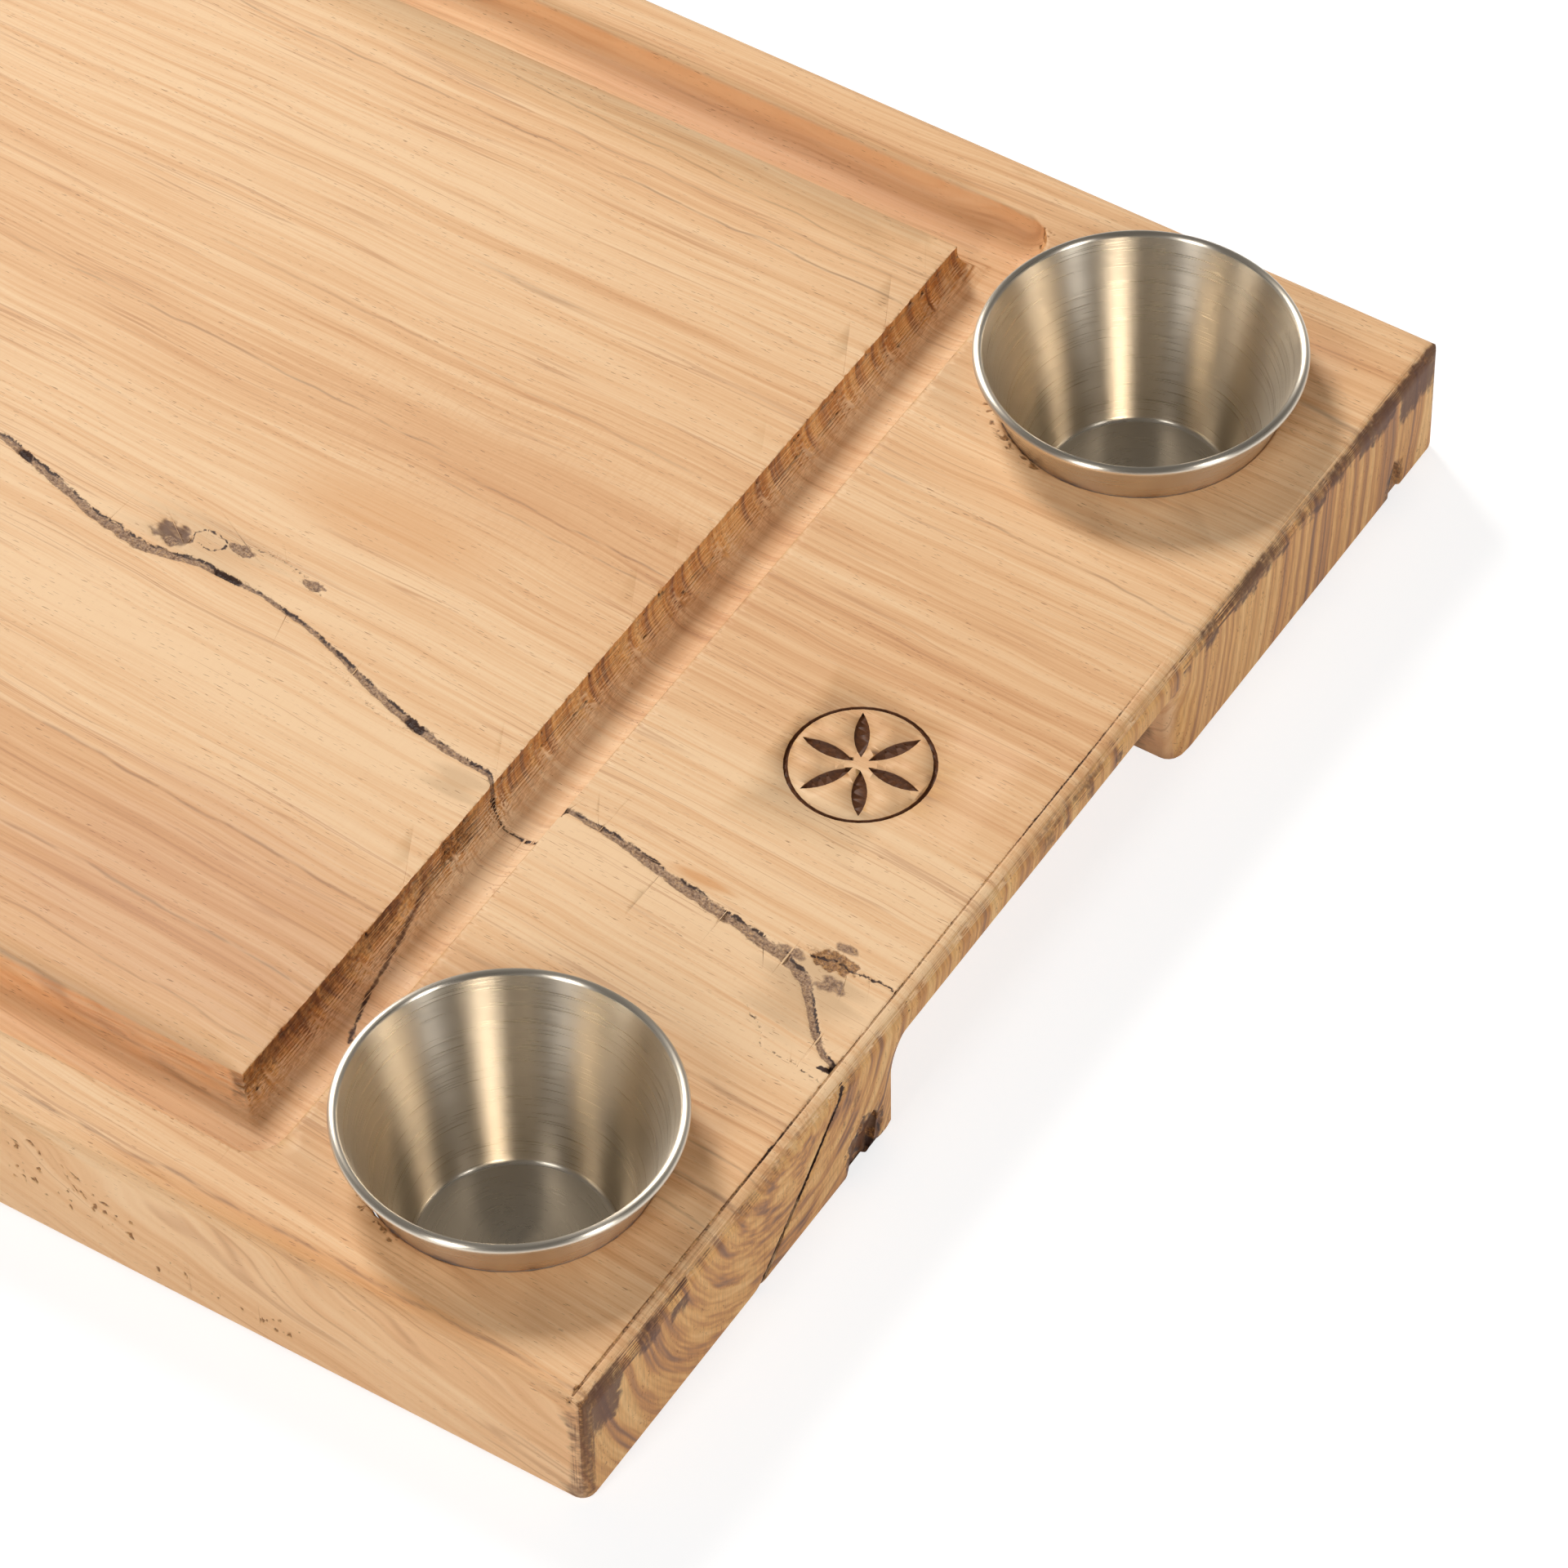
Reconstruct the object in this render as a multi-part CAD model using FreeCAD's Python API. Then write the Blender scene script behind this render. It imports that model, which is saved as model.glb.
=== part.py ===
import FreeCAD, Part
import math
import os

from FreeCAD import Vector

# A steak board: one hardwood slab with a juice groove round its carving field, a hand
# recess milled under each end, and two sauce cups that hang by their taper in bored holes.
# Millimetres. +Z is up, the origin is under the middle of the slab on the table, +X runs
# along the grain to the end that holds the cups, and +Y runs across the board.

# Slab
board_length = 450.0
board_width = 300.0
board_thickness = 29.0
edge_round = 3.0            # top long arrises and the four upright corners
foot_round = 2.0            # arrises that rest on the table
end_round = 3.3             # top arris of each end
end_step = 0.4              # how far the end cutter bites under the top at one corner
end_step_run = 205.0        # length over which that bite runs out

# Juice groove, a closed loop cut by one round nosed cutter
groove_width = 14.6
groove_depth = 7.2
groove_flat = 3.0
groove_to_plain_end = 15.0
groove_to_near_edge = 15.2
groove_to_far_edge = 12.9
bore_to_groove = 6.6        # wood between a bore's eased edge and the groove

# Sauce cups, spun from sheet with a curled rim
rim_diameter = 64.2
rim_bead = 1.95
cup_sheet = 0.5
cup_foot_radius = 19.3
cup_foot_round = 1.7
cup_curl_end = -80.0        # degrees, where the curled sheet stops under the rim
cup_stand = 11.2            # rim top above the board
cup_foot_gap = 0.2          # cup foot above the table

# Bored holes that carry the cups
cup_from_end = 42.5
cup_from_side = 41.6
bore_chamfer = 0.9
seat_clearance = 0.1

# Hand recess under each end
recess_width = 98.4
recess_depth = 22.0
recess_roof = 7.8           # wood left over the fingers
recess_shift = 3.2          # off the middle line, as the real one was milled
recess_corner = 10.0        # round of the two back corners in plan
recess_cove = 8.5           # round between walls and roof
flare_side = 6.2            # how far the mouth opens sideways
flare_roof = 1.5            # how far the mouth opens upwards
flare_depth = 4.0           # how far in the opening begins
flare_steps = 5

# Engraved six petal rosette between the cups
rosette_from_end = 37.5
rosette_radius = 12.6
rosette_hub = 1.6           # plain wood left at the centre
rosette_ring_gap = 0.8
rosette_ring_width = 0.9
rosette_petals = 6
engraving_depth = 0.6

# Flaws of this piece of timber, on the end that holds the cups, as (Y, Z) on its face
split_width = 0.9
split_depth = 5.0
split_foot = (-95.2, 0.0)
split_bend = (-75.6, 17.0)
split_head = (-65.1, 27.3)
pocket_depth = 1.6
pocket_outline = [(-65.1, 0.0), (-63.4, 5.0), (-60.5, 8.5), (-53.6, 12.5), (-55.7, 2.6), (-59.0, 0.0)]
chip_depth = 1.2
chip_outline = [(131.0, 0.0), (131.4, 3.8), (133.1, 10.4), (135.2, 7.5), (136.7, 0.0)]

# Reach of a cutting tool past the surface it cuts
clear = 1.0

# Derived places
half_length = board_length / 2
half_width = board_width / 2
cup_x = half_length - cup_from_end
cup_y = half_width - cup_from_side
cup_height = board_thickness + cup_stand - cup_foot_gap
bead_radius = rim_bead / 2
curl_hollow = bead_radius - cup_sheet
bead_ring = rim_diameter / 2 - bead_radius
bead_height = cup_height - bead_radius
recess_ceiling = board_thickness - recess_roof


def cup_taper():
    """Angle of the cup's wall from upright, set by its foot and its rim."""
    lean = math.atan2(bead_ring - cup_foot_radius, bead_height)
    reach = math.hypot(bead_ring - cup_foot_radius, bead_height)
    return lean - math.asin(curl_hollow / reach)


def bore_radius():
    """Radius of the hole, where the cup's wall passes the lower edge of the chamfer."""
    height = board_thickness - bore_chamfer - cup_foot_gap
    wall = cup_foot_radius + height * math.tan(cup_taper())
    return wall + seat_clearance / math.cos(cup_taper())


def edges_where(shape, test):
    """Edges of a shape whose middle point passes a test."""
    chosen = []
    for edge in shape.Edges:
        middle = edge.valueAt((edge.FirstParameter + edge.LastParameter) / 2)
        if test(middle):
            chosen.append(edge)
    return chosen


def near(value, target):
    """True where two lengths are the same."""
    return abs(value - target) < 1e-4


def arc(start, middle, end):
    """Edge of an arc through three points."""
    return Part.Arc(start, middle, end).toShape()


def line(start, end):
    """Straight edge between two points."""
    return Part.makeLine(start, end)


def to_plain_end(shape):
    """The same cut at the other end of the board, turned round the upright axis."""
    copy = shape.copy()
    copy.rotate(Vector(0, 0, 0), Vector(0, 0, 1), 180)
    return copy


def slab():
    """Blank with its upright corners, feet and long top arrises rounded."""
    blank = Part.makeBox(board_length, board_width, board_thickness,
                         Vector(-half_length, -half_width, 0))
    uprights = edges_where(blank, lambda p: near(abs(p.x), half_length) and near(abs(p.y), half_width))
    blank = blank.makeFillet(edge_round, uprights)
    feet = edges_where(blank, lambda p: near(p.z, 0))
    blank = blank.makeFillet(foot_round, feet)
    blank = blank.cut(long_arris_cutter(1)).cut(long_arris_cutter(-1))
    end_cutter = end_arris_cutter()
    return blank.cut(end_cutter).cut(to_plain_end(end_cutter))


def arris_profile(round_radius):
    """Waste outside a rounded arris, in the YZ plane, with the arris's corner at the origin.

    The wood lies on the side of negative Y and negative Z.
    """
    lean = round_radius * (1 - math.sqrt(0.5))
    top = Vector(0, -round_radius, 0)
    side = Vector(0, 0, -round_radius)
    middle = Vector(0, -lean, -lean)
    high_in = Vector(0, -round_radius, clear)
    high_out = Vector(0, clear, clear)
    low_out = Vector(0, clear, -round_radius)
    wire = Part.Wire([arc(top, middle, side), line(side, low_out), line(low_out, high_out),
                      line(high_out, high_in), line(high_in, top)])
    return Part.Face(wire)


def long_arris_cutter(side):
    """Waste along one long top arris, on the side of +Y or -Y."""
    profile = arris_profile(edge_round)
    cutter = profile.extrude(Vector(board_length + 2 * clear, 0, 0))
    cutter.translate(Vector(-half_length - clear, half_width, board_thickness))
    if side < 0:
        cutter = to_plain_end(cutter)
    return cutter


def end_arris_cutter():
    """Waste along the top arris of the end, bitten deeper towards the near corner."""
    tilt = math.degrees(math.atan2(end_step, end_step_run))
    profile = arris_profile(end_round)
    profile.rotate(Vector(0, 0, 0), Vector(0, 0, 1), -90)
    cutter = profile.extrude(Vector(0, board_width + 2 * clear, 0))
    cutter.translate(Vector(half_length, -half_width - clear, board_thickness - end_step))
    cutter.rotate(Vector(half_length, -half_width, board_thickness - end_step), Vector(1, 0, 0), tilt)
    return cutter


def groove_profile(half_only):
    """Section of the round nosed cutter in the XZ plane, with the board's top at Z = 0."""
    corner = (groove_width - groove_flat) / 2
    lean = corner * math.sqrt(0.5)
    half = groove_width / 2
    flat = Vector(groove_flat / 2, 0, -groove_depth)
    wall = Vector(half, 0, corner - groove_depth)
    middle = Vector(groove_flat / 2 + lean, 0, corner - groove_depth - lean)
    rim = Vector(half, 0, clear)
    edges = [arc(flat, middle, wall), line(wall, rim)]
    if half_only:
        axis_low = Vector(0, 0, -groove_depth)
        axis_high = Vector(0, 0, clear)
        edges += [line(rim, axis_high), line(axis_high, axis_low), line(axis_low, flat)]
    else:
        mirror = [Vector(-p.x, 0, p.z) for p in (flat, middle, wall, rim)]
        edges += [line(rim, mirror[3]), line(mirror[3], mirror[2]),
                  arc(mirror[2], mirror[1], mirror[0]), line(mirror[0], flat)]
    return Part.Face(Part.Wire(Part.__sortEdges__(edges)))


def groove_corners():
    """Corners of the cutter's path, anticlockwise from the near corner at the cup end."""
    half = groove_width / 2
    right = cup_x - bore_radius() - bore_chamfer - bore_to_groove - half
    left = -half_length + groove_to_plain_end + half
    bottom = -half_width + groove_to_near_edge + half
    top = half_width - groove_to_far_edge - half
    return [(right, bottom), (right, top), (left, top), (left, bottom)]


def juice_groove():
    """Closed loop of groove: four straight runs and the cutter's turn at each corner."""
    corners = groove_corners()
    tools = []
    for index, (x, y) in enumerate(corners):
        next_x, next_y = corners[(index + 1) % len(corners)]
        run = math.hypot(next_x - x, next_y - y)
        heading = math.degrees(math.atan2(next_y - y, next_x - x))
        straight = groove_profile(False).extrude(Vector(0, run, 0))
        straight.rotate(Vector(0, 0, 0), Vector(0, 0, 1), heading - 90)
        straight.translate(Vector(x, y, board_thickness))
        turn = groove_profile(True).revolve(Vector(0, 0, 0), Vector(0, 0, 1), 90)
        turn.rotate(Vector(0, 0, 0), Vector(0, 0, 1), heading - 180)
        turn.translate(Vector(x, y, board_thickness))
        tools += [straight, turn]
    return tools[0].multiFuse(tools[1:])


def cup_bore(side):
    """Hole through the board for one cup, eased at the top."""
    radius = bore_radius()
    place = Vector(cup_x, side * cup_y, 0)
    hole = Part.makeCylinder(radius, board_thickness + 2 * clear, place - Vector(0, 0, clear))
    ease = Part.makeCone(radius, radius + bore_chamfer + clear, bore_chamfer + clear,
                         place + Vector(0, 0, board_thickness - bore_chamfer))
    return hole.fuse(ease)


def recess_section(x, side, roof):
    """Closed section of the recess at one X, opened by side and roof beyond its walls."""
    left = recess_shift - recess_width / 2 - side
    right = recess_shift + recess_width / 2 + side
    top = recess_ceiling + roof
    cove = recess_cove
    lean = cove * (1 - math.sqrt(0.5))
    foot_left = Vector(x, left, -clear)
    wall_left = Vector(x, left, top - cove)
    roof_left = Vector(x, left + cove, top)
    roof_right = Vector(x, right - cove, top)
    wall_right = Vector(x, right, top - cove)
    foot_right = Vector(x, right, -clear)
    return Part.Wire([line(foot_left, wall_left),
                      arc(wall_left, Vector(x, left + lean, top - lean), roof_left),
                      line(roof_left, roof_right),
                      arc(roof_right, Vector(x, right - lean, top - lean), wall_right),
                      line(wall_right, foot_right), line(foot_right, foot_left)])


def hand_recess():
    """Hollow for the fingers: a coved pocket and its flared mouth."""
    back = half_length - recess_depth
    low_y = recess_shift - recess_width / 2
    pocket = Part.makeBox(recess_depth + clear, recess_width, recess_ceiling + clear,
                          Vector(back, low_y, -clear))
    corners = edges_where(pocket, lambda p: near(p.x, back) and p.z < recess_ceiling - clear
                          and not near(p.z, -clear) and not near(p.y, recess_shift))
    pocket = pocket.makeFillet(recess_corner, corners)
    coves = edges_where(pocket, lambda p: near(p.z, recess_ceiling) and not near(p.x, half_length + clear))
    pocket = pocket.makeFillet(recess_cove, coves)
    mouth = [recess_section(half_length + clear, flare_side, flare_roof)]
    for step in range(flare_steps + 1):
        inward = step / flare_steps
        open_share = 1 - math.sqrt(1 - (1 - inward) ** 2)
        mouth.append(recess_section(half_length - flare_depth * inward,
                                    flare_side * open_share, flare_roof * open_share))
    return pocket.fuse(Part.makeLoft(mouth, True, True))


def rosette_petal(angle):
    """One lens shaped petal, from the hub to the ring."""
    length = rosette_radius - rosette_hub
    half = length / 2
    sagitta = length * (1 - math.sqrt(0.75))
    start = Vector(rosette_hub, 0, 0)
    end = Vector(rosette_radius, 0, 0)
    middle = rosette_hub + half
    wire = Part.Wire([arc(start, Vector(middle, sagitta, 0), end),
                      arc(end, Vector(middle, -sagitta, 0), start)])
    petal = Part.Face(wire).extrude(Vector(0, 0, engraving_depth + clear))
    petal.rotate(Vector(0, 0, 0), Vector(0, 0, 1), angle)
    return petal


def rosette():
    """Six petals inside a thin ring, engraved between the cups."""
    inner = rosette_radius + rosette_ring_gap
    ring = Part.makeCylinder(inner + rosette_ring_width, engraving_depth + clear)
    ring = ring.cut(Part.makeCylinder(inner, engraving_depth + clear))
    cuts = [ring] + [rosette_petal(index * 360 / rosette_petals) for index in range(rosette_petals)]
    motif = Part.makeCompound(cuts)
    motif.translate(Vector(half_length - rosette_from_end, 0, board_thickness - engraving_depth))
    return motif


def end_cut(outline, depth):
    """Cut into the cup end under an outline of (Y, Z) points, its feet run past the table side."""
    feet = [(y, z if z > 0 else -clear) for y, z in outline]
    points = [Vector(half_length + clear, y, z) for y, z in feet]
    face = Part.Face(Part.makePolygon(points + [points[0]]))
    return face.extrude(Vector(-depth - clear, 0, 0))


def timber_flaws():
    """Split, bark pocket and chip in the end grain."""
    half = split_width / 2
    left = [(y - half, z) for y, z in (split_foot, split_bend)]
    right = [(y + half, z) for y, z in (split_bend, split_foot)]
    split = end_cut(left + [split_head] + right, split_depth)
    return [split, end_cut(pocket_outline, pocket_depth), end_cut(chip_outline, chip_depth)]


def board():
    """The whole wooden board."""
    wood = slab()
    recess = hand_recess()
    for cut in [juice_groove(), cup_bore(1), cup_bore(-1), recess, to_plain_end(recess), rosette()]:
        wood = wood.cut(cut)
    for flaw in timber_flaws():
        wood = wood.cut(flaw)
    return wood


def polar(centre, radius, angle):
    """Point at an angle round a centre, in the XZ plane."""
    return Vector(centre.x + radius * math.cos(angle), 0, centre.z + radius * math.sin(angle))


def cup(side):
    """One spun cup: flat foot, tapered wall and curled rim, turned about its own axis."""
    taper = cup_taper()
    inward = math.pi - taper
    turn_x = cup_foot_radius - cup_foot_round * (1 - math.sin(taper)) / math.cos(taper)
    heel = Vector(turn_x, 0, cup_foot_round)
    heel_middle = -(math.pi / 2 + taper) / 2
    heel_inner = cup_foot_round - cup_sheet
    bead = Vector(bead_ring, 0, bead_height)
    curl_end = math.radians(cup_curl_end)
    curl_middle = (inward + curl_end) / 2
    floor_in = Vector(0, 0, cup_sheet)
    floor_out = Vector(0, 0, 0)
    inside = [line(floor_in, Vector(turn_x, 0, cup_sheet)),
              arc(Vector(turn_x, 0, cup_sheet), polar(heel, heel_inner, heel_middle),
                  polar(heel, heel_inner, -taper)),
              line(polar(heel, heel_inner, -taper), polar(bead, bead_radius, inward)),
              arc(polar(bead, bead_radius, inward), polar(bead, bead_radius, curl_middle),
                  polar(bead, bead_radius, curl_end))]
    outside = [line(polar(bead, bead_radius, curl_end), polar(bead, curl_hollow, curl_end)),
               arc(polar(bead, curl_hollow, curl_end), polar(bead, curl_hollow, curl_middle),
                   polar(bead, curl_hollow, inward)),
               line(polar(bead, curl_hollow, inward), polar(heel, cup_foot_round, -taper)),
               arc(polar(heel, cup_foot_round, -taper), polar(heel, cup_foot_round, heel_middle),
                   Vector(turn_x, 0, 0)),
               line(Vector(turn_x, 0, 0), floor_out),
               line(floor_out, floor_in)]
    section = Part.Face(Part.Wire(inside + outside))
    shell = section.revolve(Vector(0, 0, 0), Vector(0, 0, 1), 360)
    shell.translate(Vector(cup_x, side * cup_y, cup_foot_gap))
    return shell


def write(name, shape):
    """Write one piece as a STEP file, after making sure that it is one sound solid."""
    solids = shape.Solids
    if len(solids) != 1 or not solids[0].isValid():
        raise RuntimeError(f"{name} has {len(solids)} solids, valid {[s.isValid() for s in solids]}")
    solids[0].exportStep(f"parts/{name}.step")
    print(name, "volume", round(solids[0].Volume / 1000, 2), "cm3")


os.makedirs("parts", exist_ok=True)
write("board", board())
write("cup_front", cup(-1))
write("cup_rear", cup(1))
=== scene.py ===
import logging
import math
from dataclasses import dataclass
from enum import Enum
from typing import Any, Sequence

import bmesh
import bpy
from mathutils import Matrix, Vector, noise


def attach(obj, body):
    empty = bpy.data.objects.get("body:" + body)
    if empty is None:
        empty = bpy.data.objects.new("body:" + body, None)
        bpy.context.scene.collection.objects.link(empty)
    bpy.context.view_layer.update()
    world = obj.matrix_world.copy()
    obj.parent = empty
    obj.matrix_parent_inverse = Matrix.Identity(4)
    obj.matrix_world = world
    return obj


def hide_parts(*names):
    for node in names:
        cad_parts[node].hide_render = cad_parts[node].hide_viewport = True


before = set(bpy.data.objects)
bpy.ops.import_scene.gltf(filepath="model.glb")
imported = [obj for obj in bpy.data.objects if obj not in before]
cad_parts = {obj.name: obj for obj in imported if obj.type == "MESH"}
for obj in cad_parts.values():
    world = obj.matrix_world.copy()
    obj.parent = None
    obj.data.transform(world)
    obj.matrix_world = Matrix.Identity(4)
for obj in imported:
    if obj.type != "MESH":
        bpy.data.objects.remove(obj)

log = logging.getLogger("steak_board")

MM = 0.001
"""One millimetre in the frame's metres."""


class Blend(Enum):
    """How one colour is laid over another."""

    OVER = "MIX"
    MULTIPLY = "MULTIPLY"


class Wire:
    """A number's socket that takes part in Python expressions."""

    def __init__(self, graph: "Graph", socket: bpy.types.NodeSocket) -> None:
        """Wrap a socket.

        Args:
            graph: The graph that the socket belongs to.
            socket: The output socket.
        """
        self.graph = graph
        self.socket = socket

    def _do(self, operation: str, *values: Any) -> "Wire":
        """Add one Math node.

        Args:
            operation: The node's operation.
            values: Wires or numbers, in the order of the node's sockets.

        Returns:
            The node's result.
        """
        return self.graph.node("ShaderNodeMath", {"operation": operation}, dict(enumerate(values)))

    def __add__(self, other: Any) -> "Wire":
        """Sum."""
        return self._do("ADD", self, other)

    def __radd__(self, other: Any) -> "Wire":
        """Sum, from the right."""
        return self._do("ADD", other, self)

    def __sub__(self, other: Any) -> "Wire":
        """Difference."""
        return self._do("SUBTRACT", self, other)

    def __rsub__(self, other: Any) -> "Wire":
        """Difference, from the right."""
        return self._do("SUBTRACT", other, self)

    def __mul__(self, other: Any) -> "Wire":
        """Product."""
        return self._do("MULTIPLY", self, other)

    def __rmul__(self, other: Any) -> "Wire":
        """Product, from the right."""
        return self._do("MULTIPLY", other, self)

    def __truediv__(self, other: Any) -> "Wire":
        """Quotient."""
        return self._do("DIVIDE", self, other)

    def __pow__(self, other: Any) -> "Wire":
        """Power. A square and a root have quicker nodes of their own."""
        if other == 2:
            return self._do("MULTIPLY", self, self)
        if other == 0.5:
            return self._do("SQRT", self)
        return self._do("POWER", self, other)

    def __abs__(self) -> "Wire":
        """Size without its sign."""
        return self._do("ABSOLUTE", self)

    def most(self, other: Any) -> "Wire":
        """The larger of two."""
        return self._do("MAXIMUM", self, other)

    def least(self, other: Any) -> "Wire":
        """The smaller of two."""
        return self._do("MINIMUM", self, other)

    def line(self, slope: float, start: float) -> "Wire":
        """Scale and shift in one node."""
        return self._do("MULTIPLY_ADD", self, slope, start)

    def step(self, start: float, end: float, height: float = 1.0) -> "Wire":
        """Go smoothly from 0 to a height.

        Args:
            start: Where the step is 0.
            end: Where the step is full, above or below start.
            height: What the full step is.

        Returns:
            The smooth step, held to 0 and the height outside.
        """
        low, high = min(start, end), max(start, end)
        rise = (0.0, height) if start < end else (height, 0.0)
        return self.graph.node("ShaderNodeMapRange", {"interpolation_type": "SMOOTHSTEP"},
                               {0: self, 1: low, 2: high, 3: rise[0], 4: rise[1]})

    def curve(self, low: float, high: float, points: Sequence[tuple[float, float]]) -> "Wire":
        """Read a drawn curve.

        Args:
            low: Where the drawn curve begins.
            high: Where it ends.
            points: Places between low and high, and the values there, from 0 to 1.

        Returns:
            The curve's value.
        """
        share = [((at - low) / (high - low), value) for at, value in points]
        along = (self - low) / (high - low)
        return self.graph.node("ShaderNodeFloatCurve", {"points": share}, {1: along})


class Graph:
    """The node tree of one material."""

    def __init__(self, name: str) -> None:
        """Start an empty material.

        Args:
            name: The material's name.
        """
        self.material = bpy.data.materials.new(name)
        self.material.use_nodes = True
        self.tree = self.material.node_tree
        self.tree.nodes.clear()

    def node(self, kind: str, settings: dict[str, Any], inputs: dict[Any, Any], out: Any = 0) -> Wire:
        """Add a node.

        Args:
            kind: The node's type.
            settings: Its properties. "stops" are a ramp's places and colours, "points" a
                curve's points.
            inputs: Wires or values by socket name or number.
            out: The name or number of the socket that is handed back.

        Returns:
            The chosen output.
        """
        made = self.tree.nodes.new(kind)
        for key, value in settings.items():
            if key == "stops":
                self._fill_ramp(made.color_ramp, value)
            elif key == "points":
                self._fill_curve(made.mapping, value)
            else:
                setattr(made, key, value)
        for key, value in inputs.items():
            if isinstance(value, Wire):
                self.tree.links.new(value.socket, made.inputs[key])
            else:
                made.inputs[key].default_value = value
        return Wire(self, made.outputs[out])

    @staticmethod
    def _fill_ramp(ramp: bpy.types.ColorRamp, stops: Sequence[tuple[float, Sequence[float]]]) -> None:
        """Set a ramp's stops.

        Args:
            ramp: The ramp.
            stops: Places from 0 to 1 and colours.
        """
        while len(ramp.elements) < len(stops):
            ramp.elements.new(1.0)
        for element, (at, colour) in zip(ramp.elements, stops):
            element.position = at
            element.color = colour

    @staticmethod
    def _fill_curve(mapping: bpy.types.CurveMapping, points: Sequence[tuple[float, float]]) -> None:
        """Set a curve's points.

        Args:
            mapping: The node's curve.
            points: Places and values from 0 to 1, in order.
        """
        drawn = mapping.curves[0]
        while len(drawn.points) < len(points):
            drawn.points.new(1.0, 0.0)
        for point, place in zip(drawn.points, points):
            point.location = place
        mapping.update()

    def split(self, vector: Wire) -> tuple[Wire, Wire, Wire]:
        """Take a vector apart.

        Args:
            vector: The vector.

        Returns:
            Its three numbers.
        """
        first = self.node("ShaderNodeSeparateXYZ", {}, {0: vector})
        others = first.socket.node.outputs
        return first, Wire(self, others[1]), Wire(self, others[2])

    def join(self, x: Any, y: Any, z: Any) -> Wire:
        """Make a vector of three numbers."""
        return self.node("ShaderNodeCombineXYZ", {}, {0: x, 1: y, 2: z})

    def noise(self, vector: Wire, detail: float = 2.0, roughness: float = 0.5) -> Wire:
        """Read fractal noise.

        Args:
            vector: The place, already scaled.
            detail: How many finer layers are added.
            roughness: How strong the finer layers are.

        Returns:
            A number about 0.5.
        """
        return self.node("ShaderNodeTexNoise", {"noise_dimensions": "3D"},
                         {"Vector": vector, "Scale": 1.0, "Detail": detail, "Roughness": roughness})

    def mix(self, factor: Any, under: Any, over: Any, blend: Blend = Blend.OVER) -> Wire:
        """Lay one colour over another.

        Args:
            factor: How much of the upper colour shows.
            under: The lower colour.
            over: The upper colour.
            blend: How they are mixed.

        Returns:
            The mixed colour.
        """
        return self.node("ShaderNodeMix", {"data_type": "RGBA", "blend_type": blend.value},
                         {0: factor, 6: under, 7: over}, 2)

    def finish(self, shader: Wire) -> bpy.types.Material:
        """Send a shader to the output.

        Args:
            shader: The shader.

        Returns:
            The material.
        """
        self.node_output = self.tree.nodes.new("ShaderNodeOutputMaterial")
        self.tree.links.new(shader.socket, self.node_output.inputs["Surface"])
        return self.material


def srgb(red: int, green: int, blue: int) -> tuple[float, float, float, float]:
    """Turn a given colour into the linear colour that a shader takes.

    Args:
        red: From 0 to 255.
        green: From 0 to 255.
        blue: From 0 to 255.

    Returns:
        The linear colour, with an alpha of 1.
    """
    def linear(value: int) -> float:
        """Undo the display curve."""
        share = value / 255
        return share / 12.92 if share <= 0.04045 else ((share + 0.055) / 1.055) ** 2.4

    return linear(red), linear(green), linear(blue), 1.0


def rise(value: float, start: float, end: float) -> float:
    """Go smoothly from 0 to 1.

    Args:
        value: The place.
        start: Where the step is 0.
        end: Where the step is 1, above or below start.

    Returns:
        The smooth step.
    """
    share = min(max((value - start) / (end - start), 0.0), 1.0)
    return share * share * (3 - 2 * share)


def bump_of(value: float, low: float, high: float, soft: float) -> float:
    """Stand at 1 between two places and fall to 0 outside them.

    Args:
        value: The place.
        low: Where the full stretch begins.
        high: Where it ends.
        soft: How far outside it reaches 0.

    Returns:
        The height, from 0 to 1.
    """
    return rise(value, low - soft, low) * rise(value, high + soft, high)


def grain(*place: float) -> float:
    """Read smooth noise, about -1 to 1, at a place already scaled."""
    return noise.noise(Vector(place))


def from_path(path: Sequence[tuple[float, float]], x: float, y: float) -> tuple[float, float]:
    """Measure the distance from a drawn line.

    Args:
        path: The line's points.
        x: The place along the board.
        y: The place across it.

    Returns:
        The distance, and the side on which the place lies, 1 or -1.
    """
    nearest, side = 1e9, 1.0
    for (ax, ay), (bx, by) in zip(path, path[1:]):
        dx, dy = bx - ax, by - ay
        share = min(max(((x - ax) * dx + (y - ay) * dy) / (dx * dx + dy * dy), 0.0), 1.0)
        off_x, off_y = x - ax - share * dx, y - ay - share * dy
        away = off_x * off_x + off_y * off_y
        if away < nearest:
            nearest, side = away, math.copysign(1.0, dx * off_y - dy * off_x)
    return math.sqrt(nearest), side


def in_ellipse(x: float, y: float, centre: tuple[float, float], reach: tuple[float, float]) -> float:
    """Tell how deep a place lies in an ellipse: 1 at the middle, 0 at the rim, less outside."""
    return 1 - math.hypot((x - centre[0]) / reach[0], (y - centre[1]) / reach[1])


@dataclass(frozen=True)
class DarkLine:
    """A thin dark line drawn on the top, in millimetres: mostly lines in the grain, and one painted shade line along
    the far groove's inner edge.
    """

    start: tuple[float, float]
    end: tuple[float, float]
    width: float
    strength: float


@dataclass(frozen=True)
class Stain:
    """A soft patch of another tone on the top, in millimetres."""

    centre: tuple[float, float]
    reach: tuple[float, float]
    strength: float
    colour: tuple[float, float, float, float]


PALE = srgb(253, 214, 168)
HONEY = srgb(242, 194, 144)
TAN = srgb(225, 169, 118)
BROWN = srgb(192, 136, 94)
UMBER = srgb(150, 98, 66)
PINK = srgb(216, 160, 128)
ORANGE = srgb(222, 152, 84)
OLIVE = srgb(176, 140, 98)


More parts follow.
